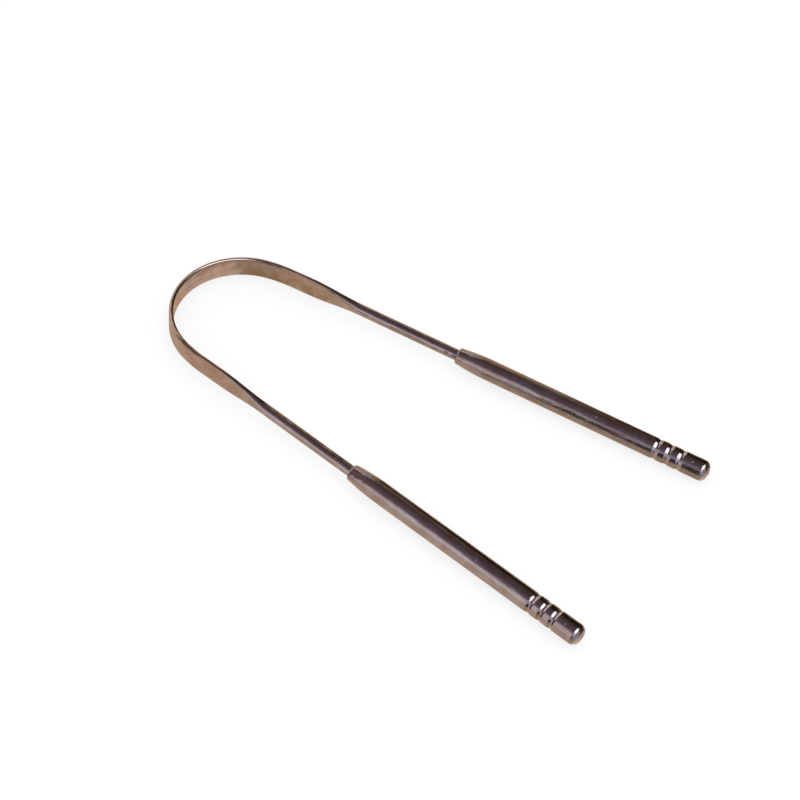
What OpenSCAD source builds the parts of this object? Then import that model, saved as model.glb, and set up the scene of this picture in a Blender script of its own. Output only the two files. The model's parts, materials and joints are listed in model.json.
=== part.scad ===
// Tongue scraper. A round steel wire is rolled flat in its middle, the flat band is bent into
// a bow, and a hollow steel handle is swaged onto each round end of the wire.
// Millimetres. The bow points to +Y and the handles to -Y, mirrored about x = 0. The part rests
// on z = 0, on the lower edge of the bow's front and on the far ends of both handles.

/* [Bow] */
// Radius of the bow, at the middle of the band's thickness
bow_radius = 20.3; // [16:0.1:26]
// Radius of each shoulder, where the bow eases into an arm
shoulder_radius = 41; // [30:1:60]
// Turn of each shoulder, in degrees
shoulder_turn = 10; // [4:1:16]
// Splay of each arm from the middle line, in degrees
arm_splay = 5.7; // [2:0.1:9]
// Tilt of the bow, nose down from the plane of the round arms, in degrees
bow_pitch = 1.8; // [0:0.1:4]

/* [Band] */
// Width of the band, which stands upright
band_width = 6.7; // [6:0.1:8]
// Thickness of the band
band_thickness = 1.25; // [0.9:0.05:1.8]
// Straight stretch of full band behind each shoulder
band_straight = 7; // [2:0.5:12]
// Stretch over which the band swells back into round wire
swell_length = 17.5; // [10:0.5:26]

/* [Wire] */
// Diameter of the round wire
wire_d = 3.2; // [2.6:0.1:3.6]
// Bare round wire between the band and a handle's mouth
bare_wire = 29.5; // [15:0.5:45]
// Wire hidden inside a handle
hidden_wire = 14; // [8:1:25]
// Bevel at the sheared end of the wire
wire_bevel = 0.4; // [0.2:0.1:0.8]

/* [Handle] */
// Length of a handle, from its mouth to its closed end
handle_length = 77.6; // [60:0.1:100]
// Outer diameter of the handle's tube
tube_d = 6; // [5.4:0.1:7]
// Wall of the tube
tube_wall = 0.6; // [0.5:0.05:0.8]
// Length of the swaged neck
neck_length = 9; // [7:0.5:14]
// Length of the neck that grips the wire
grip_length = 4; // [2:0.5:6]
// Wall at the mouth, thickened by the swaging
mouth_wall = 0.75; // [0.55:0.05:0.8]
// Clearance between the neck's bore and the wire, on the radius
neck_clearance = 0.02; // [0.01:0.01:0.05]
// Rounding of the mouth's outer rim
mouth_round = 0.45; // [0.2:0.05:0.45]
// Corner radius of the closed end
end_round = 2; // [1.2:0.1:2.4]
// Height of the slight dome on the closed end
end_dome = 0.25; // [0.1:0.05:0.6]

/* [Grooves] */
// Number of rolled grooves in a handle
groove_count = 3; // [1:1:5]
// Distance from one groove to the next
groove_pitch = 3.6; // [2.5:0.1:4.5]
// Width of a groove, from land to land
groove_width = 2.1; // [1:0.1:2.4]
// Depth of a groove
groove_depth = 0.22; // [0.1:0.02:0.34]
// Distance from the last groove's middle to the closed end
end_land = 8.5; // [6:0.1:14]

/* [Hidden] */
$fn = 96;

// Curve of the neck: 1 is a cone, 2 is an arc that meets the tube smoothly
neck_fullness = 1.6;
neck_steps = 12;
groove_steps = 12;
corner_steps = 10;
dome_steps = 4;
ring_points = 32;
shoulder_steps = 3;
swell_steps = 16;
// Turn by which the two halves of the bow run past each other, so that they fuse into one piece
lap_turn = 1;

wire_r = wire_d / 2;
tube_r = tube_d / 2;
bore_r = wire_r + neck_clearance;
mouth_r = bore_r + mouth_wall;

// Plan of the bow: headings count from the front of the bow, round its centre at x = y = 0
arm_heading = 90 - arm_splay;
bow_heading = arm_heading - shoulder_turn;
shoulder_centre = (bow_radius - shoulder_radius) * [sin(bow_heading), cos(bow_heading)];
arm_start = shoulder_centre + shoulder_radius * [sin(arm_heading), cos(arm_heading)];

// Distances along an arm, from the end of its shoulder
swell_end = band_straight + swell_length;
mouth_at = swell_end + bare_wire;
wire_end = mouth_at + hidden_wire;
end_at = mouth_at + handle_length;

// The bow tilts about this line across the arms, in the middle of the stretch where they bend
hinge_y = arm_start.y - swell_end / 2 * cos(arm_splay);
hinge_reach = bow_radius - hinge_y;

// Rest: the lower edge of the bow's front and the handles' far ends stand on z = 0
front_reach = hinge_reach * sin(bow_pitch) + band_width / 2 * cos(bow_pitch);
front_rest_y = hinge_y + hinge_reach * cos(bow_pitch) - band_width / 2 * sin(bow_pitch);
handle_rest_y = arm_start.y - (end_at - end_dome - end_round) * cos(arm_splay);
rest_tilt = asin((front_reach - tube_r) / (front_rest_y - handle_rest_y));

// The origin is under the middle of the part's length
front_y = hinge_y + hinge_reach * cos(bow_pitch) + band_thickness / 2
    + (band_width - band_thickness) / 2 * sin(bow_pitch);
rear_y = handle_rest_y - (tube_r - end_round) * sin(arm_splay) - end_round;
middle_y = (front_y + rear_y) / 2;
rest_lift = front_reach * cos(rest_tilt) - (front_rest_y - middle_y) * sin(rest_tilt);

function eased(share) = share * share * (3 - 2 * share);

function between(a, b, share) = a + (b - a) * share;

function arc(centre, radius, from, to, steps) =
    [for (i = [0:steps]) centre + radius * [cos(between(from, to, i / steps)),
                                            sin(between(from, to, i / steps))]];

function reversed(points) = [for (i = [len(points) - 1:-1:0]) points[i]];

// Middle of one groove, measured from the mouth
function groove_at(i) = handle_length - end_land - (groove_count - 1 - i) * groove_pitch;

// One groove rolled into a surface of the given radius, as points of radius and distance
function groove(radius, middle) =
    [for (i = [0:groove_steps])
        let (share = i / groove_steps)
        [radius - groove_depth * (1 - cos(360 * share)) / 2,
         middle + groove_width * (share - 0.5)]];

function grooves(radius) = [for (i = [0:groove_count - 1]) each groove(radius, groove_at(i))];

// The swaged neck, from the mouth's rim to the tube
function neck() =
    [for (i = [1:neck_steps])
        let (share = i / neck_steps)
        [tube_r - (tube_r - mouth_r) * pow(1 - share, neck_fullness),
         between(mouth_round, neck_length, share)]];

// The closed end's shallow dome, inside the corner
function dome(radius, top) =
    [for (i = [1:dome_steps])
        let (share = 1 - i / dome_steps)
        [radius * share, top - end_dome * share * share]];

// Outline of the handle's outside, from mouth to closed end
function handle_outside() = concat(
    arc([mouth_r - mouth_round, mouth_round], mouth_round, -90, 0, corner_steps),
    neck(),
    grooves(tube_r),
    arc([tube_r - end_round, handle_length - end_dome - end_round], end_round, 0, 90, corner_steps),
    dome(tube_r - end_round, handle_length));

// Outline of the handle's inside, one wall within: the grooves show there as low ridges
function handle_inside() = concat(
    [[bore_r, 0], [bore_r, grip_length], [tube_r - tube_wall, neck_length]],
    grooves(tube_r - tube_wall),
    arc([tube_r - end_round, handle_length - end_dome - end_round], end_round - tube_wall, 0, 90,
        corner_steps),
    dome(tube_r - end_round, handle_length - tube_wall));

// Section of the rolled wire, as points across it and up: flat faces and full round edges, which
// become a circle when the width equals the thickness
function section(width, thickness) =
    [for (i = [0:ring_points - 1])
        let (turn = 360 * (i + 0.5) / ring_points)
        [thickness / 2 * cos(turn),
         thickness / 2 * sin(turn) + sign(sin(turn)) * (width - thickness) / 2]];

function band_section() = section(band_width, band_thickness);

// Area that the round edges take off a section, as a share of its thickness squared
corner_share = 1 - PI / 4;

function area(width, thickness) = width * thickness - corner_share * pow(thickness, 2);

// Thickness of a section with the given width and area, at most a full circle
function thickness_for(width, steel) =
    min(width, (width - sqrt(pow(width, 2) - 4 * corner_share * steel)) / (2 * corner_share));

// Fall of the arm below the bow's plane. It bends over the band and the swell, then runs straight
function fall(distance) =
    tan(bow_pitch) * cos(arm_splay)
    * (distance < swell_end ? pow(distance, 2) / (2 * swell_end) : distance - swell_end / 2);

// A section set across one side of the bow, past a turn of the shoulder and a stretch of the arm.
// The side starts at y = 0, where the bow ends and the shoulder begins, and runs to -y
function ring(points, turn, distance) =
    [for (point = points)
        [bow_radius - shoulder_radius + (shoulder_radius + point.x) * cos(turn)
             - distance * sin(turn),
         -(shoulder_radius + point.x) * sin(turn) - distance * cos(turn),
         point.y - fall(distance)]];

// The swell from band to round wire, by the share of it that is passed. Rolling only moves the
// steel, so the section's area runs evenly from the band's to the wire's
function swell_ring(share) =
    let (width = between(band_width, wire_d, eased(share)),
         steel = between(area(band_width, band_thickness), area(wire_d, wire_d), share))
    ring(section(width, thickness_for(width, steel)),
         shoulder_turn, band_straight + swell_length * share);

// The round wire or its sheared end, at a distance along the arm
function wire_ring(diameter, distance) = ring(section(diameter, diameter), shoulder_turn, distance);

module at_rest() {
    translate([0, 0, rest_lift])
        rotate([rest_tilt, 0, 0])
            translate([0, -middle_y, 0])
                children();
}

// Tilts the bow's plane down from the plane of the arms
module pitched() {
    translate([0, hinge_y, 0])
        rotate([-bow_pitch, 0, 0])
            translate([0, -hinge_y, 0])
                children();
}

// A frame on one arm, right for side 1 and left for side -1: its z runs down the arm, its y is up
module on_arm(side, distance) {
    translate([side * arm_start.x, arm_start.y, 0])
        rotate([90, 0, side * arm_splay])
            translate([0, 0, distance])
                children();
}

// A skin through rings of points, closed at both ends
module loft(rings) {
    sides = [for (i = [0:len(rings) - 2], k = [0:ring_points - 1])
        let (next = (k + 1) % ring_points, here = i * ring_points, above = here + ring_points)
        each [[here + k, above + k, above + next], [here + k, above + next, here + next]]];
    first_face = [for (k = [0:ring_points - 1]) k];
    last_face = [for (k = [ring_points - 1:-1:0]) (len(rings) - 1) * ring_points + k];
    polyhedron([for (points = rings) each points], concat(sides, [first_face], [last_face]));
}

// The right half of the bow, then its shoulder, straight band, swell and round wire
module half_bow() {
    rotate([0, 0, 90 - bow_heading]) {
        rotate_extrude(angle = bow_heading + lap_turn)
            polygon([for (point = band_section()) [bow_radius + point.x, point.y]]);
        loft(concat(
            [for (i = [0:shoulder_steps]) ring(band_section(), shoulder_turn * i / shoulder_steps, 0)],
            [for (i = [0:swell_steps]) swell_ring(i / swell_steps)],
            [wire_ring(wire_d, wire_end - wire_bevel),
             wire_ring(wire_d - 2 * wire_bevel, wire_end)]));
    }
}

module scraper_bow() {
    color("silver")
        at_rest() pitched() {
            half_bow();
            mirror([1, 0, 0]) half_bow();
        }
}

module handle() {
    rotate_extrude() polygon(concat(handle_outside(), reversed(handle_inside())));
}

module right_handle() {
    color("gainsboro") at_rest() on_arm(1, mouth_at) handle();
}

module left_handle() {
    color("gainsboro") at_rest() on_arm(-1, mouth_at) handle();
}

scraper_bow();
left_handle();
right_handle();
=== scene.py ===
# %% [markdown]
# # A steel tongue scraper
# The object is a loop of polished stainless steel. One round wire is rolled flat in its middle and
# bent into an upright bow, and a hollow tube is squeezed onto each round end as a handle. The steel
# has hardly any colour of its own: most of what the eye sees is the shape of a mirror and what it
# reflects. So this lesson spends its time on smooth, true surfaces and on the light around them.

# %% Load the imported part
import json
import math

import bmesh
import bpy
from mathutils import Matrix, Vector


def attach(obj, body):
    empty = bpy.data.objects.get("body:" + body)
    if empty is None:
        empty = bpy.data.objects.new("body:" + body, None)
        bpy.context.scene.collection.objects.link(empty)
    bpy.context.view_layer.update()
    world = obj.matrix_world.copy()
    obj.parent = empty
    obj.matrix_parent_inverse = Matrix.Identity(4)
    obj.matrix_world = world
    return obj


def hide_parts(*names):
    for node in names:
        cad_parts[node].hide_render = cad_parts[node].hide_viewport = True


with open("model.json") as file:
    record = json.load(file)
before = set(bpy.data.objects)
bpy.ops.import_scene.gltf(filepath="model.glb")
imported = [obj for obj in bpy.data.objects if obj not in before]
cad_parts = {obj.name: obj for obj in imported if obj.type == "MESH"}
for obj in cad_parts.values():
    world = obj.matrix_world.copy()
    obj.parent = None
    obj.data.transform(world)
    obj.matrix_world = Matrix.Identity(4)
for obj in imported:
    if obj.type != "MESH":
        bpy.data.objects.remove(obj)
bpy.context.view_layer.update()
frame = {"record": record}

MM = 0.001

# %% [markdown]
# ## A helper for node trees
# Shapes, finishes and light below are all made of nodes. One function adds a node of any kind: its
# plain settings are given by name, and each of its inputs takes a value, another node's socket, or
# another node, which stands for its first output.

# %% Add a node


def add(tree, kind, inputs=None, **settings):
    node = tree.nodes.new(kind)
    for name, value in settings.items():
        setattr(node, name, value)
    for key, value in (inputs or {}).items():
        if isinstance(value, bpy.types.Node):
            value = value.outputs[0]
        if isinstance(value, bpy.types.NodeSocket):
            tree.links.new(value, node.inputs[key])
        else:
            node.inputs[key].default_value = value
    return node


# %% [markdown]
# ## The sizes of the wire
# The band stands upright: it is 6.7 mm high and 1.25 mm thick, with the area of the 3.2 mm wire
# that it was rolled from. Its plan is a bow, then a gentler turn at each shoulder, then a straight
# arm. Behind the shoulders the arms bend up a little, so that the bow hangs nose down from their
# plane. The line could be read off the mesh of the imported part, but the few driving sizes give a
# smoother one, so they are named here.

# %% Sizes of the wire and its plan
BOW_RADIUS = 20.3 * MM
SHOULDER_RADIUS = 41 * MM
SHOULDER_TURN = math.radians(10)
ARM_SPLAY = math.radians(5.7)
BOW_PITCH = math.radians(1.8)
BAND_WIDTH = 6.7 * MM
BAND_THICKNESS = 1.25 * MM
BAND_STRAIGHT = 7 * MM
SWELL_LENGTH = 17.5 * MM
WIRE_DIAMETER = 3.2 * MM
BARE_WIRE = 29.5 * MM
HIDDEN_WIRE = 14 * MM

BOW_TURN = math.pi / 2 - ARM_SPLAY - SHOULDER_TURN
SWELL_END = BAND_STRAIGHT + SWELL_LENGTH
MOUTH_AT = SWELL_END + BARE_WIRE
FULL_BAND = BOW_RADIUS * BOW_TURN + SHOULDER_RADIUS * SHOULDER_TURN + BAND_STRAIGHT
print("half the full band, mm:", round(FULL_BAND / MM, 1),
      "arm up to its handle, mm:", round(MOUTH_AT / MM, 1))

# %% [markdown]
# ## Where the arms lie
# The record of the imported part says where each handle's tube is and which way it points. The arms
# follow from that: both lie in one plane, which is tipped by half a degree because the scraper
# rests on the deep band in front and on the thin handles behind. The bow's plane hangs from it,
# about a line across the arms in the middle of the stretch where they bend.

# %% The plane of the arms
mounts = {mount["name"]: mount for mount in frame["record"]["mounts"]}
right_tube = mounts["right_handle_tube"]
arm_heading = Vector(right_tube["axis"]).normalized()
tube_middle = Vector(right_tube["pos_m"])
TUBE_RADIUS = right_tube["dims"]["r_mm"] * MM
tilt = math.asin(-arm_heading.z / math.cos(ARM_SPLAY))

shoulder_x = (BOW_RADIUS - SHOULDER_RADIUS) * math.sin(BOW_TURN)
shoulder_y = (BOW_RADIUS - SHOULDER_RADIUS) * math.cos(BOW_TURN)
arm_start = Vector((shoulder_x + SHOULDER_RADIUS * math.cos(ARM_SPLAY),
                    shoulder_y + SHOULDER_RADIUS * math.sin(ARM_SPLAY), 0))
arm_reach = (tube_middle.x - arm_start.x) / math.sin(ARM_SPLAY)
tube_middle_flat = arm_start + arm_reach * Vector((math.sin(ARM_SPLAY), -math.cos(ARM_SPLAY), 0))
tipped = Matrix.Rotation(tilt, 4, "X")
at_rest = Matrix.Translation(tube_middle - tipped @ tube_middle_flat) @ tipped
hinge = Vector((0, arm_start.y - SWELL_END / 2 * math.cos(ARM_SPLAY), 0))
nose_down = Matrix.Rotation(-BOW_PITCH, 4, "X")
pitched = Matrix.Translation(hinge) @ nose_down @ Matrix.Translation(-hinge)
print("tilt, degrees:", round(math.degrees(tilt), 3), "arm reach, mm:", round(arm_reach / MM, 3))

# %% [markdown]
# ## The wire: a path and a rule for its section
# On the real object a rolling mill does this: the same wire is round at both ends and flat in the
# middle, and the flat faces run out in a long lens where the rollers lift off. It could be lofted
# by hand through a few drawn sections. A rule is truer: each point of the path has a section that
# follows from how far it lies from the front. Geometry Nodes suit that, because the path, the
# section and the rule stay apart, and each size is an input that can be changed by itself.

# %% The path of the wire
PATH_STEP = 0.35 * MM


def arc(centre, radius, start, turn):
    """Points of an arc in plan, without its last one. Angles count from straight ahead."""
    count = round(radius * turn / PATH_STEP)
    angles = [start + turn * i / count for i in range(count)]
    return [centre + Vector((math.sin(angle), math.cos(angle), 0)) * radius for angle in angles]


def fall(distance):
    """How far the arm falls below the bow's plane: over a soft bend, then evenly."""
    bend = distance ** 2 / (2 * SWELL_END) if distance < SWELL_END else distance - SWELL_END / 2
    return math.tan(BOW_PITCH) * math.cos(ARM_SPLAY) * bend


def arm_path():
    """Points of the right half, from the front of the bow to the end of the wire."""
    points = arc(Vector((0, 0, 0)), BOW_RADIUS, 0, BOW_TURN)
    points += arc(Vector((shoulder_x, shoulder_y, 0)), SHOULDER_RADIUS, BOW_TURN, SHOULDER_TURN)
    arm = MOUTH_AT + HIDDEN_WIRE
    count = round(arm / PATH_STEP)
    for i in range(count + 1):
        distance = arm * i / count
        points.append(arm_start + Vector((
            distance * math.sin(ARM_SPLAY), -distance * math.cos(ARM_SPLAY), -fall(distance))))
    return points


# %% Lay the path out
right_half = arm_path()
left_half = [Vector((-point.x, point.y, point.z)) for point in reversed(right_half[1:])]
path_points = left_half + right_half
path_mesh = bpy.data.meshes.new("wire_path")
path_mesh.from_pydata(path_points, [(i, i + 1) for i in range(len(path_points) - 1)], [])
wire = bpy.data.objects.new("rolled_wire", path_mesh)
bpy.context.collection.objects.link(wire)
print("path points:", len(path_points))

# %% [markdown]
# ## The rule: width and thickness
# Rolling squeezes the steel but takes none of it off. So the width eases from band to wire, and the
# thickness follows from the area that is kept. With half-round edges that area is a rectangle less
# its four corners, and the nodes solve this for the thickness. It keeps the band thin until late in
# the swell, as on the real object.

# %% Nodes for the width and the thickness
CORNER_SHARE = 1 - math.pi / 4


def section_area(width, thickness):
    """Area of a section: its round edges take four corners off a rectangle."""
    return width * thickness - CORNER_SHARE * thickness ** 2


def section_size(tree, given):
    """How far each point of the path lies from the front, and its section's width and thickness."""
    half = add(tree, "ShaderNodeMath", {
        0: add(tree, "GeometryNodeSplineLength"), 1: 0.5}, operation="MULTIPLY")
    length = add(tree, "GeometryNodeSplineParameter").outputs["Length"]
    from_front = add(tree, "ShaderNodeMath", {0: length, 1: half}, operation="SUBTRACT")
    off_front = add(tree, "ShaderNodeMath", {0: from_front}, operation="ABSOLUTE")
    round_from = add(tree, "ShaderNodeMath", {0: given["Full Band"], 1: given["Swell Length"]})
    swell = {"Value": off_front, "From Min": given["Full Band"], "From Max": round_from}
    share = add(tree, "ShaderNodeMapRange", swell)
    eased_share = add(tree, "ShaderNodeMapRange", swell, interpolation_type="SMOOTHSTEP")
    width = add(tree, "ShaderNodeMix", {
        0: eased_share, 2: given["Band Width"], 3: given["Wire Diameter"]})
    area = add(tree, "ShaderNodeMix", {0: share, 2: given["Band Area"], 3: given["Wire Area"]})

    # The thickness that gives this area at this width, at most a full circle
    corners = add(tree, "ShaderNodeMath", {0: area, 1: 4 * CORNER_SHARE}, operation="MULTIPLY")
    squared = add(tree, "ShaderNodeMath", {0: width, 1: 2.0}, operation="POWER")
    left_over = add(tree, "ShaderNodeMath", {0: squared, 1: corners}, operation="SUBTRACT")
    root = add(tree, "ShaderNodeMath", {0: left_over}, operation="SQRT")
    doubled = add(tree, "ShaderNodeMath", {0: width, 1: root}, operation="SUBTRACT")
    exact = add(tree, "ShaderNodeMath", {0: doubled, 1: 2 * CORNER_SHARE}, operation="DIVIDE")
    thickness = add(tree, "ShaderNodeMath", {0: exact, 1: width}, operation="MINIMUM")
    return from_front, width, thickness


# %% [markdown]
# ## The section
# The section is walked round in four stretches: a half-round edge on top, a flat face, a half-round
# edge below, and the other face. Each point knows its angle on the round edges and its height on
# the flat faces. Where the wire is round, the faces have no height and their points are merged
# away. A flat section could be blended into a round one instead, but the edges between would no
# longer be half-round, as they are on rolled wire.

# %% Nodes for the walk round the section
EDGE_SHARE = 0.8


def section_walk(tree, walked):
    """A point's angle on the round edges and its height on the faces, from the share walked."""
    passes = add(tree, "ShaderNodeMath", {0: walked, 1: 2.0}, operation="MULTIPLY")
    second = add(tree, "ShaderNodeMath", {0: passes}, operation="FLOOR")
    passed = add(tree, "ShaderNodeMath", {0: passes}, operation="FRACT")
    on_edge = add(tree, "ShaderNodeMapRange", {"Value": passed, "From Max": EDGE_SHARE})
    on_face = add(tree, "ShaderNodeMapRange", {
        "Value": passed, "From Min": EDGE_SHARE, "To Min": 1.0, "To Max": -1.0})
    turns = add(tree, "ShaderNodeMath", {0: second, 1: on_edge})
    angle = add(tree, "ShaderNodeMath", {0: turns, 1: math.pi}, operation="MULTIPLY")
    upper = add(tree, "ShaderNodeMath", {0: second, 1: -2.0, 2: 1.0}, operation="MULTIPLY_ADD")
    height = add(tree, "ShaderNodeMath", {0: upper, 1: on_face}, operation="MULTIPLY")
    return angle, height


# %% Nodes for the place of a point in the section


def section_point(tree, angle, height, wide, thick):
    """How far the point lies out from the path and up from it."""
    radius = add(tree, "ShaderNodeMath", {0: thick, 1: 0.5}, operation="MULTIPLY")
    cosine = add(tree, "ShaderNodeMath", {0: angle}, operation="COSINE")
    sine = add(tree, "ShaderNodeMath", {0: angle}, operation="SINE")
    out = add(tree, "ShaderNodeMath", {0: radius, 1: cosine}, operation="MULTIPLY")
    edge_height = add(tree, "ShaderNodeMath", {0: radius, 1: sine}, operation="MULTIPLY")
    face = add(tree, "ShaderNodeMath", {0: wide, 1: thick}, operation="SUBTRACT")
    half_face = add(tree, "ShaderNodeMath", {0: face, 1: 0.5}, operation="MULTIPLY")
    up = add(tree, "ShaderNodeMath", {
        0: half_face, 1: height, 2: edge_height}, operation="MULTIPLY_ADD")
    return out, up


# %% [markdown]
# ## How a tree begins and ends
# Two trees shape the pieces: the first rolls the wire, and a later one rolls the grooves into the
# handles. Both take a piece, its sizes and its material, and both end with smooth faces in that
# material.

# %% Begin and end a tree


def new_tree(name, piece, sizes):
    """A tree with its sockets, and the outputs that bring in what it is given."""
    tree = bpy.data.node_groups.new(name, "GeometryNodeTree")
    sockets = [("Geometry", "OUTPUT", "Geometry"), (piece, "INPUT", "Geometry")]
    sockets += [(size, "INPUT", "Float") for size in sizes] + [("Material", "INPUT", "Material")]
    for socket, way, kind in sockets:
        tree.interface.new_socket(socket, in_out=way, socket_type="NodeSocket" + kind)
    return tree, add(tree, "NodeGroupInput").outputs


def end_tree(tree, given, geometry):
    smooth = add(tree, "GeometryNodeSetShadeSmooth", {0: geometry})
    real = add(tree, "GeometryNodeRealizeInstances", {0: smooth})
    finished = add(tree, "GeometryNodeSetMaterial", {0: real, "Material": given["Material"]})
    add(tree, "NodeGroupOutput", {0: finished})


# %% [markdown]
# ## The tree that rolls the wire
# A circle is swept along the path, only for its faces. Then each of its points goes to its true
# place in the section there. It also keeps where it would be on the straight wire: how far along,
# out and up. The finish below is laid out on that, and so follows every bend.

# %% Build the tree
SECTION_POINTS = 80
MERGE_WITHIN = MM / 1000


def rolled_wire_tree():
    tree, given = new_tree("rolled_wire", "Path", (
        "Band Width", "Band Area", "Full Band", "Swell Length", "Wire Diameter", "Wire Area"))

    # The path, whose points keep their sizes for the sweep
    path = add(tree, "GeometryNodeMeshToCurve", {0: given["Path"]})
    from_front, width, thickness = section_size(tree, given)
    across = add(tree, "ShaderNodeVectorMath", {
        0: add(tree, "GeometryNodeInputTangent"), 1: (0, 0, 1)}, operation="CROSS_PRODUCT")
    at_path = add(tree, "GeometryNodeCaptureAttribute", {0: path})
    for kind, name, value in (("VECTOR", "middle", add(tree, "GeometryNodeInputPosition")),
                              ("VECTOR", "across", across), ("FLOAT", "from front", from_front),
                              ("FLOAT", "width", width), ("FLOAT", "thickness", thickness)):
        at_path.capture_items.new(kind, name)
        tree.links.new(value.outputs[0], at_path.inputs[name])
    kept = at_path.outputs

    # The section, whose points keep the share of it that is walked so far
    circle = add(tree, "GeometryNodeCurvePrimitiveCircle", {
        "Resolution": SECTION_POINTS, "Radius": MM})
    at_section = add(tree, "GeometryNodeCaptureAttribute", {0: circle})
    at_section.capture_items.new("FLOAT", "walked")
    walked = add(tree, "GeometryNodeSplineParameter").outputs["Factor"]
    tree.links.new(walked, at_section.inputs["walked"])
    swept = add(tree, "GeometryNodeCurveToMesh", {
        "Curve": at_path, "Profile Curve": at_section, "Fill Caps": True})
    angle, height = section_walk(tree, at_section.outputs["walked"])
    out, up = section_point(tree, angle, height, kept["width"], kept["thickness"])

    # Each point goes to its place, and keeps where it would be on the straight wire
    sideways = add(tree, "ShaderNodeVectorMath", {0: kept["across"], 3: out}, operation="SCALE")
    outward = add(tree, "ShaderNodeVectorMath", {0: kept["middle"], 1: sideways})
    place = add(tree, "ShaderNodeVectorMath", {
        0: outward, 1: add(tree, "ShaderNodeCombineXYZ", {"Z": up})})
    placed = add(tree, "GeometryNodeSetPosition", {"Geometry": swept, "Position": place})
    straight = add(tree, "ShaderNodeCombineXYZ", {"X": kept["from front"], "Y": out, "Z": up})
    marked = add(tree, "GeometryNodeStoreNamedAttribute", {
        "Geometry": placed, "Name": "straight", "Value": straight},
        data_type="FLOAT_VECTOR", domain="POINT")
    end_tree(tree, given, add(tree, "GeometryNodeMergeByDistance", {
        "Geometry": marked, "Distance": MERGE_WITHIN}))
    return tree


# %% [markdown]
# ## Bake a tree into a plain mesh
# A live modifier is fine in a scene, but a part that others will use should be a plain mesh. The
# tree is given its sizes by each socket's identifier, the result is copied, and the modifier goes.
# Then all faces are turned outwards and the mesh is measured, so that a hole or a wrong volume
# shows at once.

# %% Run a tree on an object


def bake(piece, tree, sizes, material):
    modifier = piece.modifiers.new(tree.name, "NODES")
    modifier.node_group = tree
    values = dict(sizes, Material=material)
    for item in tree.interface.items_tree:
        if item.in_out == "INPUT" and item.name in values:
            modifier[item.identifier] = values[item.name]
    bpy.context.view_layer.update()
    shaped = piece.evaluated_get(bpy.context.evaluated_depsgraph_get())
    made = bpy.data.meshes.new_from_object(shaped)
    piece.modifiers.remove(modifier)
    piece.data = made


# %% Turn the faces outwards and measure


def face_outwards(mesh):
    work = bmesh.new()
    work.from_mesh(mesh)
    bmesh.ops.recalc_face_normals(work, faces=work.faces)
    open_edges = sum(not edge.is_manifold for edge in work.edges)
    print(mesh.name, "faces:", len(work.faces), "open edges:", open_edges,
          "volume, mm3:", round(work.calc_volume(signed=True) / MM ** 3, 1))
    work.to_mesh(mesh)
    work.free()


# %% [markdown]
# ## Polished stainless steel
# Stainless steel is a warm grey mirror once it is buffed, and three things tell a real one from a
# perfect mirror. The surface is never quite flat, so what it reflects wavers and breaks into soft
# patches. Drawing, rolling and buffing leave fine lines that follow the metal. And here and there a
# tiny pit is left, which catches the light as a speck; the pits are also painted lighter than the
# steel, a painted glint. A photograph of scratched steel could be laid over the mesh, but noise in
# the surface's own height stays sharp from any distance. The band has a faint straw colour, which
# the bare wire and the tubes lack.

# %% Colours


def colour(text):
    """An sRGB hex colour as the linear colour that the nodes work in."""
    parts = [int(text[i:i + 2], 16) / 255 for i in (1, 3, 5)]
    return (*[part / 12.92 if part <= 0.04045 else ((part + 0.055) / 1.055) ** 2.4
              for part in parts], 1)


STEEL, STEEL_WARM = colour("#CECCCA"), colour("#C0B6B0")
STRAW, STRAW_WARM = colour("#CEC4B8"), colour("#C4B09C")
# The brown of the band's edges is a painted reflection, not a colour of the steel.
# The light colour of the pits is a painted glint.
PAINTED_EDGE_REFLECTION, PIT_GLINT = colour("#C4B2A0"), colour("#F4F0EC")

# %% [markdown]
# ## Marks in the steel
# Each kind of mark has a width, a stretch along the metal, a height, and how far from the start of
# the piece it reaches. The real lines are about 0.02 mm apart, too fine to show in the picture, so
# they are drawn 0.4 mm apart. The swaging hammers leave the necks more dented than the rest of a
# handle, and the rollers leave the band's faces wavy and a little crowned.

# %% Sizes of the marks
NECK_LENGTH = 9 * MM
ROLLED_MARKS = {
    "waves from the rollers": (3 * MM, 1.5, 0.055 * MM, None),
    "buffing lines": (0.4 * MM, 30, 0.008 * MM, None),
}
DRAWN_MARKS = {
    "waves from the buffing wheel": (7 * MM, 3, 0.06 * MM, None),
    "drawing lines": (0.4 * MM, 60, 0.014 * MM, None),
    "short scratches": (0.4 * MM, 9, 0.014 * MM, None),
    "dents from swaging": (1.5 * MM, 1.5, 0.05 * MM, NECK_LENGTH),
}
FACE_CROWN = 0.08 * MM
PIT_SPACING, PIT_RADIUS, PIT_DEPTH = 2.7 * MM, 0.2 * MM, 0.01 * MM

# %% Nodes for the height of the marks
# Noise keeps mostly between the first two values. Between the other two it changes more softly.
NOISE_LOW, NOISE_HIGH = 0.35, 0.65
SOFT_LOW, SOFT_HIGH = 0.3, 0.7


def marked(tree, straight, along, height, marks):
    """Adds the height of each kind of mark to a height."""
    for label, (width, stretch, depth, reach) in marks.items():
        laid_out = add(tree, "ShaderNodeVectorMath", {
            0: straight, 1: (1 / stretch, 1, 1)}, operation="MULTIPLY", label=label)
        noise = add(tree, "ShaderNodeTexNoise", {
            "Vector": laid_out, "Scale": 1 / width, "Detail": 1.0})
        rise = add(tree, "ShaderNodeMapRange", {
            "Value": noise, "From Min": NOISE_LOW, "From Max": NOISE_HIGH, "To Max": depth},
            clamp=False)
        if reach:
            fade = add(tree, "ShaderNodeMapRange", {
                "Value": along, "From Min": reach, "From Max": 0.0})
            rise = add(tree, "ShaderNodeMath", {0: rise, 1: fade}, operation="MULTIPLY")
        height = add(tree, "ShaderNodeMath", {0: height, 1: rise})
    return height


# %% Nodes for the pits


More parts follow.
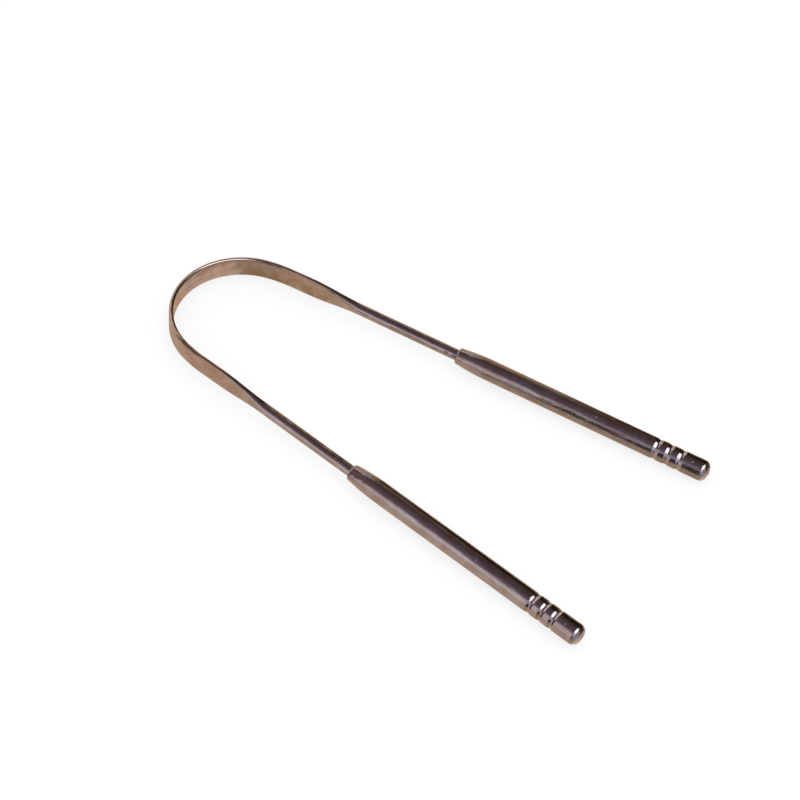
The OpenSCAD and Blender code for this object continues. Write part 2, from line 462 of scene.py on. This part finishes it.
def in_pit(tree, straight):
    """How deep a point is in a pit: pits are small balls, where they cut the surface."""
    scattered = add(tree, "ShaderNodeTexVoronoi", {"Vector": straight, "Scale": 1 / PIT_SPACING})
    return add(tree, "ShaderNodeMapRange", {
        "Value": scattered.outputs["Distance"], "From Min": PIT_RADIUS / PIT_SPACING,
        "From Max": PIT_RADIUS / PIT_SPACING / 2})


# %% [markdown]
# ## Tints, a painted edge reflection and gloss
# The steel's tint changes a little from place to place. The band has a faint straw tint, which
# fades out along the swell. The band's narrow edges are painted browner than its faces: a painted
# reflection. The gloss changes from line to line.

# %% Nodes for the tints of the band and the painted reflection on its edges
EDGE_FROM, EDGE_TO = (BAND_WIDTH - BAND_THICKNESS) / 2, BAND_WIDTH / 2 - 0.2 * MM


def band_tint_and_edge_reflection(tree, parts, patches, steel):
    straw = add(tree, "ShaderNodeMix", {
        0: patches, 6: STRAW, 7: STRAW_WARM}, data_type="RGBA").outputs[2]
    rolled = add(tree, "ShaderNodeMapRange", {
        "Value": add(tree, "ShaderNodeMath", {0: parts["X"]}, operation="ABSOLUTE"),
        "From Min": FULL_BAND + SWELL_LENGTH, "From Max": FULL_BAND})
    faces = add(tree, "ShaderNodeMix", {
        0: rolled, 6: steel, 7: straw}, data_type="RGBA").outputs[2]
    # The edges are painted browner than the faces: a painted reflection.
    edge = add(tree, "ShaderNodeMapRange", {
        "Value": add(tree, "ShaderNodeMath", {0: parts["Z"]}, operation="ABSOLUTE"),
        "From Min": EDGE_FROM, "From Max": EDGE_TO})
    return add(tree, "ShaderNodeMix", {
        0: edge, 6: faces, 7: PAINTED_EDGE_REFLECTION}, data_type="RGBA").outputs[2]


# %% Nodes for the gloss
LINE_WIDTH, LINE_STRETCH = 0.4 * MM, 20
SMOOTH, DULL, PITTED = 0.09, 0.15, 0.5


def line_gloss(tree, straight, pitted):
    laid_out = add(tree, "ShaderNodeVectorMath", {
        0: straight, 1: (1 / LINE_STRETCH, 1, 1)}, operation="MULTIPLY")
    lines = add(tree, "ShaderNodeTexNoise", {
        "Vector": laid_out, "Scale": 1 / LINE_WIDTH, "Detail": 2.0})
    gloss = add(tree, "ShaderNodeMapRange", {
        "Value": lines, "From Min": SOFT_LOW, "From Max": SOFT_HIGH,
        "To Min": SMOOTH, "To Max": DULL})
    return add(tree, "ShaderNodeMix", {0: pitted, 2: gloss, 3: PITTED})


# %% [markdown]
# ## The steel material
# Both finishes come from one function: metal with its marks as height, its tint and its gloss. The
# patterns read the attribute "straight", where the wire or the tube lies unbent. Only a rolled
# piece has a crown, and only it gets the tints of the band, with the painted reflection on its
# edges.

# %% The steel material
TINT_PATCH = 4 * MM


def buffed_steel(name, marks, crown):
    material = bpy.data.materials.new(name)
    material.use_nodes = True
    tree = material.node_tree
    tree.nodes.clear()
    straight = add(tree, "ShaderNodeAttribute", attribute_name="straight").outputs["Vector"]
    parts = add(tree, "ShaderNodeSeparateXYZ", {0: straight}).outputs

    # Height: the crown, the marks and the pits
    off_middle = add(tree, "ShaderNodeMath", {0: parts["Z"], 1: EDGE_FROM}, operation="DIVIDE")
    squared = add(tree, "ShaderNodeMath", {0: off_middle, 1: off_middle}, operation="MULTIPLY")
    crowned = add(tree, "ShaderNodeMath", {0: squared, 1: -crown}, operation="MULTIPLY")
    height = marked(tree, straight, parts["X"], crowned, marks)
    pitted = in_pit(tree, straight)
    bottom = add(tree, "ShaderNodeMath", {
        0: pitted, 1: -PIT_DEPTH, 2: height}, operation="MULTIPLY_ADD")
    bumps = add(tree, "ShaderNodeBump", {"Strength": 1.0, "Distance": 1.0, "Height": bottom})

    # Tint, with painted light: a painted reflection on the band's edges and a painted glint in the
    # pits
    noise = add(tree, "ShaderNodeTexNoise", {
        "Vector": straight, "Scale": 1 / TINT_PATCH, "Detail": 2.0})
    patches = add(tree, "ShaderNodeMapRange", {
        "Value": noise, "From Min": NOISE_LOW, "From Max": NOISE_HIGH})
    steel = add(tree, "ShaderNodeMix", {
        0: patches, 6: STEEL, 7: STEEL_WARM}, data_type="RGBA").outputs[2]
    if crown:
        steel = band_tint_and_edge_reflection(tree, parts, patches, steel)
    # The pits are painted lighter than the steel: a painted glint.
    tint_and_painted_light = add(tree, "ShaderNodeMix", {0: pitted, 6: steel, 7: PIT_GLINT}, data_type="RGBA").outputs[2]

    shader = add(tree, "ShaderNodeBsdfPrincipled", {
        "Base Color": tint_and_painted_light, "Metallic": 1.0, "Roughness": line_gloss(tree, straight, pitted),
        "Normal": bumps})
    add(tree, "ShaderNodeOutputMaterial", {"Surface": shader})
    print(name, "kinds of mark:", len(marks), "nodes:", len(tree.nodes))
    return material


rolled_steel = buffed_steel("stainless_steel_rolled_and_buffed", ROLLED_MARKS, FACE_CROWN)
tube_steel = buffed_steel("stainless_steel_tube_drawn_and_buffed", DRAWN_MARKS, 0.0)

# %% Roll the wire
bake(wire, rolled_wire_tree(), {
    "Band Width": BAND_WIDTH, "Band Area": section_area(BAND_WIDTH, BAND_THICKNESS),
    "Full Band": FULL_BAND, "Swell Length": SWELL_LENGTH,
    "Wire Diameter": WIRE_DIAMETER, "Wire Area": section_area(WIRE_DIAMETER, WIRE_DIAMETER),
}, rolled_steel)
wire.data.transform(at_rest @ pitched)
face_outwards(wire.data)
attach(wire, "root")
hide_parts("scraper_bow")

# %% [markdown]
# ## The handles: a turned profile
# Each handle starts as a plain thin tube. A swaging machine hammers its front end down onto the
# wire, which leaves a neck with a full, slightly curved taper and a small rounded rim, and the far
# end is spun shut to a flat dome. Such a shape is round everywhere, so one outline turned about its
# axis gives all of it. The outline runs over the outside and back along the inside, one wall
# within, so that the mouth round the wire has a true edge.

# %% Sizes of a handle
HANDLE_LENGTH = 77.6 * MM
TUBE_WALL = 0.6 * MM
NECK_FULLNESS = 1.6
MOUTH_WALL = 0.75 * MM
GRIP_LENGTH = 4 * MM
NECK_CLEARANCE = 0.02 * MM
MOUTH_ROUND = 0.45 * MM
END_ROUND = 2 * MM
END_DOME = 0.25 * MM
GROOVE_COUNT = 3
GROOVE_PITCH = 3.6 * MM
GROOVE_WIDTH = 2.1 * MM
GROOVE_DEPTH = 0.22 * MM
END_LAND = 8.5 * MM

BORE_RADIUS = WIRE_DIAMETER / 2 + NECK_CLEARANCE
MOUTH_RADIUS = BORE_RADIUS + MOUTH_WALL
FIRST_GROOVE = HANDLE_LENGTH - END_LAND - (GROOVE_COUNT - 1) * GROOVE_PITCH
RIBBED = (FIRST_GROOVE - GROOVE_PITCH / 2, HANDLE_LENGTH - END_LAND + GROOVE_PITCH / 2)
print("grooved from, to, mm:", [round(distance / MM, 2) for distance in RIBBED])

# %% Points of the outline
# How far apart the points are: down the tube in mm, up the neck in shares, round corners in degrees
PLAIN_STEP, END_STEP, GROOVE_STEP, INNER_STEP = 2 * MM, MM, 0.08 * MM, 0.2 * MM
NECK_STEP, CORNER_STEP, DOME_STEP = 0.02, 5, 0.2 * MM


def spaced(start, stop, step):
    """Evenly spaced values from start to stop, without the last, no further apart than step."""
    count = math.ceil(abs(stop - start) / step)
    return [start + (stop - start) * i / count for i in range(count)]


def round_corner(radius_at, distance_at, radius, start, stop):
    """Outline points round a corner, from one angle to another in degrees."""
    turns = [math.radians(turn) for turn in spaced(start, stop, CORNER_STEP)]
    return [(radius_at + radius * math.cos(turn), distance_at + radius * math.sin(turn))
            for turn in turns]


# %% Stretches of the outline


def neck(share):
    """A point of the taper, from the mouth at 0 to the full tube at 1."""
    radius = TUBE_RADIUS - (TUBE_RADIUS - MOUTH_RADIUS) * (1 - share) ** NECK_FULLNESS
    return radius, MOUTH_ROUND + (NECK_LENGTH - MOUTH_ROUND) * share


def along_tube(radius, fine):
    """Points down the plain tube, close together where the grooves will be."""
    corner_at = HANDLE_LENGTH - END_DOME - END_ROUND
    stretches = (
        (NECK_LENGTH, RIBBED[0], PLAIN_STEP), (*RIBBED, fine), (RIBBED[1], corner_at, END_STEP))
    return [(radius, distance) for stretch in stretches for distance in spaced(*stretch)]


def shut_end(inset):
    """The rounded corner and the shallow dome, on the outside or one wall within."""
    flat = TUBE_RADIUS - END_ROUND
    corner = round_corner(flat, HANDLE_LENGTH - END_DOME - END_ROUND, END_ROUND - inset, 0, 90)
    dome = [(radius, HANDLE_LENGTH - inset - END_DOME * (radius / flat) ** 2)
            for radius in spaced(flat, 0, DOME_STEP)]
    return corner + dome + [(0, HANDLE_LENGTH - inset)]


# %% The outline
mouth_rim = round_corner(MOUTH_RADIUS - MOUTH_ROUND, MOUTH_ROUND, MOUTH_ROUND, -90, 0)
taper = [neck(share) for share in spaced(0, 1, NECK_STEP)]
outer_line = mouth_rim + taper + along_tube(TUBE_RADIUS, GROOVE_STEP) + shut_end(0)
bore = [(BORE_RADIUS, distance) for distance in (0, GRIP_LENGTH / 2, GRIP_LENGTH)]
inner_line = bore + along_tube(TUBE_RADIUS - TUBE_WALL, INNER_STEP) + shut_end(TUBE_WALL)
handle_outline = outer_line + inner_line[::-1]
print("outline points:", len(outer_line), "outside,", len(inner_line), "inside")

# %% [markdown]
# ## Turn the outline
# A Screw modifier or bmesh's spin would turn it too. Writing the rings out is as short, gives clean
# quads, and closes each end on one point where the outline meets the axis.

# %% Turn an outline about its axis
TURN_POINTS = 128


def turned(name, outline):
    points, faces, rings = [], [], []
    for radius, distance in outline:
        count = TURN_POINTS if radius > 0 else 1
        rings.append(range(len(points), len(points) + count))
        for i in range(count):
            turn = 2 * math.pi * i / TURN_POINTS
            points.append((radius * math.cos(turn), radius * math.sin(turn), distance))
    for here, there in zip(rings, rings[1:] + rings[:1]):
        if len(here) == len(there) == 1:
            continue
        for i in range(TURN_POINTS):
            corners = [here[i % len(here)], here[(i + 1) % len(here)],
                       there[(i + 1) % len(there)], there[i % len(there)]]
            faces.append(list(dict.fromkeys(corners)))
    mesh = bpy.data.meshes.new(name)
    mesh.from_pydata(points, [], faces)
    return mesh


# %% [markdown]
# ## Roll the grooves
# On the real tube three narrow rollers press the grooves in, so the wall keeps its thickness and
# only bends inwards. The same is done here: a tree looks at how far each point is from the middle
# of the nearest groove, and draws it in towards the axis along a soft wave. The grooves repeat by a
# rule, so their number, pitch, width and depth are inputs.

# %% Nodes for the depth of the grooves


def groove_depth(tree, given, distance):
    """How deep a point is pressed in, from its distance down the tube."""
    pitch = given["Groove Pitch"]
    past_first = add(tree, "ShaderNodeMath", {
        0: distance, 1: given["First Groove"]}, operation="SUBTRACT")
    pitches = add(tree, "ShaderNodeMath", {0: past_first, 1: pitch}, operation="DIVIDE")
    nearest = add(tree, "ShaderNodeMath", {0: pitches}, operation="ROUND")
    last = add(tree, "ShaderNodeMath", {0: given["Groove Count"], 1: 1.0}, operation="SUBTRACT")
    number = add(tree, "ShaderNodeClamp", {"Value": nearest, "Max": last})
    off_middle = add(tree, "ShaderNodeMath", {
        0: add(tree, "ShaderNodeMath", {0: pitches, 1: number}, operation="SUBTRACT"),
        1: pitch}, operation="MULTIPLY")
    half_width = add(tree, "ShaderNodeMath", {
        0: given["Groove Width"], 1: 0.5}, operation="MULTIPLY")
    wave = add(tree, "ShaderNodeMapRange", {
        "Value": add(tree, "ShaderNodeMath", {0: off_middle}, operation="ABSOLUTE"),
        "From Max": half_width, "To Max": math.pi})
    cosine = add(tree, "ShaderNodeMath", {0: wave}, operation="COSINE")
    pressed = add(tree, "ShaderNodeMath", {0: cosine, 1: 0.5, 2: 0.5}, operation="MULTIPLY_ADD")
    return add(tree, "ShaderNodeMath", {0: pressed, 1: given["Groove Depth"]}, operation="MULTIPLY")


# %% The tree that rolls the grooves


def rolled_grooves_tree():
    tree, given = new_tree("rolled_grooves", "Tube", (
        "Groove Count", "Groove Pitch", "Groove Width", "Groove Depth", "First Groove"))
    here = add(tree, "GeometryNodeInputPosition")
    parts = add(tree, "ShaderNodeSeparateXYZ", {0: here}).outputs
    to_axis = add(tree, "ShaderNodeVectorMath", {0: here, 1: (-1, -1, 0)}, operation="MULTIPLY")
    inwards = add(tree, "ShaderNodeVectorMath", {0: to_axis}, operation="NORMALIZE")
    depth = groove_depth(tree, given, parts["Z"])
    move = add(tree, "ShaderNodeVectorMath", {0: inwards, 3: depth}, operation="SCALE")
    rolled = add(tree, "GeometryNodeSetPosition", {"Geometry": given["Tube"], "Offset": move})
    straight = add(tree, "ShaderNodeCombineXYZ", {
        "X": parts["Z"], "Y": parts["X"], "Z": parts["Y"]})
    end_tree(tree, given, add(tree, "GeometryNodeStoreNamedAttribute", {
        "Geometry": rolled, "Name": "straight", "Value": straight},
        data_type="FLOAT_VECTOR", domain="POINT"))
    return tree


# %% [markdown]
# ## Put both handles on
# The handles are two of one piece. Each tube is laid with its mouth on the arm and its closed end
# down the arm. A negative scale would mirror one into the other, but it turns a shape inside out,
# so each is turned into its place instead, and the place is written into the mesh.

# %% Make both handles
rolled_grooves = rolled_grooves_tree()


def make_handle(node_name, side):
    mesh = turned(node_name + "_tube", handle_outline)
    piece = bpy.data.objects.new("swaged_" + node_name, mesh)
    bpy.context.collection.objects.link(piece)
    bake(piece, rolled_grooves, {
        "Groove Count": float(GROOVE_COUNT), "Groove Pitch": GROOVE_PITCH,
        "Groove Width": GROOVE_WIDTH, "Groove Depth": GROOVE_DEPTH,
        "First Groove": FIRST_GROOVE}, tube_steel)
    down_arm = Vector((side * math.sin(ARM_SPLAY), -math.cos(ARM_SPLAY), 0))
    mouth = Vector((side * arm_start.x, arm_start.y, 0)) + down_arm * MOUTH_AT
    upwards = Vector((0, 0, 1))
    axes = Matrix((upwards.cross(down_arm), upwards, down_arm)).transposed().to_4x4()
    piece.data.transform(at_rest @ Matrix.Translation(mouth) @ axes)
    face_outwards(piece.data)
    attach(piece, "root")
    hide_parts(node_name)


make_handle("left_handle", -1)
make_handle("right_handle", 1)

# %% [markdown]
# ## The camera
# The photograph looks down at the scraper from its left, and is turned a little. The camera stands
# where a fit of the outline puts it, far off, as for a small thing shot with a long lens.

# %% Place the camera
VIEW_AZIMUTH = math.radians(-62.377)
VIEW_ELEVATION = math.radians(49.922)
VIEW_ROLL = math.radians(8.114)
VIEW_DISTANCE = 647.5 * MM
VIEW_AIM = Vector((2.589, 4.213, 3.742)) * MM
SENSOR_WIDTH_MM = 36
LENS_MM = 105.82
CLIP_NEAR, CLIP_FAR = 10 * MM, 10

back = Vector((math.sin(VIEW_AZIMUTH) * math.cos(VIEW_ELEVATION),
               -math.cos(VIEW_AZIMUTH) * math.cos(VIEW_ELEVATION), math.sin(VIEW_ELEVATION)))
level = Vector((math.cos(VIEW_AZIMUTH), math.sin(VIEW_AZIMUTH), 0))
upright = back.cross(level)
right = math.cos(VIEW_ROLL) * level + math.sin(VIEW_ROLL) * upright
top = back.cross(right)
camera_data = bpy.data.cameras.new("camera")
camera_data.sensor_width = SENSOR_WIDTH_MM
camera_data.lens = LENS_MM
camera_data.clip_start, camera_data.clip_end = CLIP_NEAR, CLIP_FAR
camera = bpy.data.objects.new("camera", camera_data)
facing = Matrix((right, top, back)).transposed().to_4x4()
camera.matrix_world = Matrix.Translation(VIEW_AIM + back * VIEW_DISTANCE) @ facing
bpy.context.collection.objects.link(camera)
bpy.context.scene.camera = camera
view_width = VIEW_DISTANCE * SENSOR_WIDTH_MM / LENS_MM
print("the camera takes in, mm:", round(view_width / MM, 1))

# %% [markdown]
# ## A plain white floor
# The floor is a sheet of white acrylic, lit from below as well as from above, so that the shadow on
# it stays faint. It runs far past the view on all sides. Mirrors are lit by what stands round them,
# so the floor is hidden from glossy rays, and the steel sees the studio's own lower half instead of
# a sheet of blank white.

# %% The floor
FLOOR_SIDE = 3
FLOOR_COLOUR, FLOOR_ROUGHNESS = colour("#8A8A8A"), 0.9
WHITE, FLOOR_GLOW = colour("#FFFFFF"), 0.76

half = FLOOR_SIDE / 2
floor_mesh = bpy.data.meshes.new("floor")
floor_mesh.from_pydata(
    [(-half, -half, 0), (half, -half, 0), (half, half, 0), (-half, half, 0)], [], [(0, 1, 2, 3)])
floor = bpy.data.objects.new("floor", floor_mesh)
bpy.context.collection.objects.link(floor)
floor.visible_glossy = False
acrylic = bpy.data.materials.new("white_acrylic_floor")
acrylic.use_nodes = True
tree = acrylic.node_tree
tree.nodes.clear()
sheet = add(tree, "ShaderNodeBsdfPrincipled", {
    "Base Color": FLOOR_COLOUR, "Roughness": FLOOR_ROUGHNESS, "Specular IOR Level": 0.0,
    "Emission Color": WHITE, "Emission Strength": FLOOR_GLOW})
add(tree, "ShaderNodeOutputMaterial", {"Surface": sheet})
floor_mesh.materials.append(acrylic)
print("floor, m:", FLOOR_SIDE, "by", FLOOR_SIDE)

# %% [markdown]
# ## The studio round the steel
# Polished steel has no look of its own: it shows the ceiling, the table and the lamps. The studio
# is a world shader, made of directions. Two ramps give its left and its right side from straight
# down to straight up: tan below, pale grey on the left, dark brown above. Sheets, cards, flags and
# a soft box then lie over the ramps, each a patch of directions with soft edges, and a slow noise
# makes them all as uneven as hung cloth. Each patch is there for what it does on the steel: the
# black flags draw the dark lines along the handles, and the soft box behind lights the bow's rim,
# the grooves and the caps.

# %% The parts of the studio
LEFT_SIDE = ((-78, "#8A7A6A"), (-62, "#A28A7C"), (-20, "#94847C"), (5, "#9C8E90"), (22, "#AEA2A8"),
             (42, "#7C7078"), (50, "#5A4E58"), (60, "#4A3E48"), (90, "#403436"))
RIGHT_SIDE = ((-40, "#9A8270"), (5, "#967E6C"), (22, "#7C6856"), (40, "#5A483C"), (50, "#3E3028"),
              (62, "#302422"), (90, "#3C3034"))
# Each patch: compass direction and height of its middle, its half width and half height, the blur
# of its edges, all in degrees, and its colour and brightness. The bow points to compass 0, its
# right side is at 90.
PATCHES = {
    "pale card ahead": (17, 15, 43, 32, 14, "#B0A4A6", 1.0),
    "dim gap ahead": (-36, 16, 15, 42, 12, "#503F3E", 1.0),
    "grey sheet on the left": (-110, -22, 32, 22, 10, "#7E7068", 1.0),
    "brown sheet on the left": (-98, -66, 34, 20, 12, "#86725E", 1.0),
    "grey sheet behind": (170, -32, 48, 14, 16, "#95857C", 1.0),
    "pink sheet behind": (164, -66, 54, 20, 16, "#B29E96", 1.0),
    "purple card behind": (-144, 14, 50, 32, 10, "#726874", 1.0),
    "grey flag on the left": (-100, 32, 14.5, 18, 3, "#665A64", 1.0),
    "black flag on the left": (-97, 5, 12.2, 19, 2, "#0C0608", 1.0),
    "black flag on the right": (92, 18, 18, 32, 4, "#120904", 1.0),
    "brown flag behind on the right": (134, 15, 32, 32, 12, "#35281F", 1.0),
    "violet card behind": (-122, 36, 20, 18, 20, "#A49CB2", 1.0),
    "soft box behind": (178, 66, 64, 12, 24, "#FAF6FF", 1.7),
}
print("stops:", len(LEFT_SIDE), "left,", len(RIGHT_SIDE), "right, patches:", len(PATCHES))

# %% Directions
world = bpy.data.worlds.new("studio")
bpy.context.scene.world = world
world.use_nodes = True
tree = world.node_tree
tree.nodes.clear()
direction = add(tree, "ShaderNodeTexCoord").outputs["Generated"]
way = add(tree, "ShaderNodeSeparateXYZ", {0: direction}).outputs
rising = add(tree, "ShaderNodeMath", {0: way["Z"]}, operation="ARCSINE")
height = add(tree, "ShaderNodeMath", {0: rising}, operation="DEGREES")
turning = add(tree, "ShaderNodeMath", {0: way["X"], 1: way["Y"]}, operation="ARCTAN2")
compass = add(tree, "ShaderNodeMath", {0: turning}, operation="DEGREES")

# %% The two sides
# The left side gives way to the right one between these, as the X of a direction.
SIDES_FROM, SIDES_TO = -0.3, 0.6


def fill_ramp(ramp, stops):
    """Colours by height in degrees, from straight down at -90 to straight up at 90."""
    for _ in stops[2:]:
        ramp.color_ramp.elements.new(0.5)
    for element, (height, text) in zip(ramp.color_ramp.elements, stops):
        element.position = (height + 90) / 180
        element.color = colour(text)


height_share = add(tree, "ShaderNodeMapRange", {
    "Value": height, "From Min": -90.0, "From Max": 90.0})
left_side = add(tree, "ShaderNodeValToRGB", {0: height_share})
right_side = add(tree, "ShaderNodeValToRGB", {0: height_share})
fill_ramp(left_side, LEFT_SIDE)
fill_ramp(right_side, RIGHT_SIDE)
rightness = add(tree, "ShaderNodeMapRange", {
    "Value": way["X"], "From Min": SIDES_FROM, "From Max": SIDES_TO},
    interpolation_type="SMOOTHSTEP")
view = add(tree, "ShaderNodeMix", {
    0: rightness, 6: left_side, 7: right_side}, data_type="RGBA").outputs[2]

# %% The patches
for name, patch in PATCHES.items():
    compass_at, height_at, half_width, half_height, blur, text, brightness = patch
    turn = add(tree, "ShaderNodeMath", {0: compass, 1: float(compass_at)}, operation="SUBTRACT")
    turn = add(tree, "ShaderNodeMath", {0: turn, 1: 180.0, 2: -180.0}, operation="WRAP")
    rise = add(tree, "ShaderNodeMath", {0: height, 1: float(height_at)}, operation="SUBTRACT")
    within = []
    for off, half_side in ((turn, half_width), (rise, half_height)):
        away = add(tree, "ShaderNodeMath", {0: off}, operation="ABSOLUTE")
        within.append(add(tree, "ShaderNodeMapRange", {
            "Value": away, "From Min": half_side + blur / 2, "From Max": half_side - blur / 2},
            interpolation_type="SMOOTHSTEP"))
    share = add(tree, "ShaderNodeMath", {
        0: within[0], 1: within[1]}, operation="MULTIPLY", label=name)
    shown = tuple(part * brightness for part in colour(text)[:3]) + (1,)
    view = add(tree, "ShaderNodeMix", {0: share, 6: view, 7: shown}, data_type="RGBA").outputs[2]

# %% [markdown]
# ## Who sees the studio
# The studio only reaches the steel, through glossy rays. All other rays see an even white dome,
# which lights the floor. The picture is shown as it is, with no film-like curve over it, because
# the colours were chosen for that.

# %% Light the scene
# Steel gives back a little over half of the light, so the studio is turned up by as much.
STUDIO_STRENGTH = 1.75
DOME_STRENGTH = 1.06
CLOTH_SCALE = 8.0
CLOTH_DIM, CLOTH_BRIGHT = 0.82, 1.18

cloth = add(tree, "ShaderNodeTexNoise", {
    "Vector": direction, "Scale": CLOTH_SCALE, "Detail": 2.0})
uneven = add(tree, "ShaderNodeMapRange", {
    "Value": cloth, "From Min": SOFT_LOW, "From Max": SOFT_HIGH,
    "To Min": CLOTH_DIM, "To Max": CLOTH_BRIGHT})
strength = add(tree, "ShaderNodeMath", {0: uneven, 1: STUDIO_STRENGTH}, operation="MULTIPLY")
studio = add(tree, "ShaderNodeBackground", {"Color": view, "Strength": strength})
dome = add(tree, "ShaderNodeBackground", {"Color": WHITE, "Strength": DOME_STRENGTH})
light = add(tree, "ShaderNodeMixShader", {
    0: add(tree, "ShaderNodeLightPath").outputs["Is Glossy Ray"], 1: dome, 2: studio})
add(tree, "ShaderNodeOutputWorld", {"Surface": light})
bpy.context.scene.view_settings.view_transform = "Standard"
print("nodes in the studio:", len(tree.nodes))
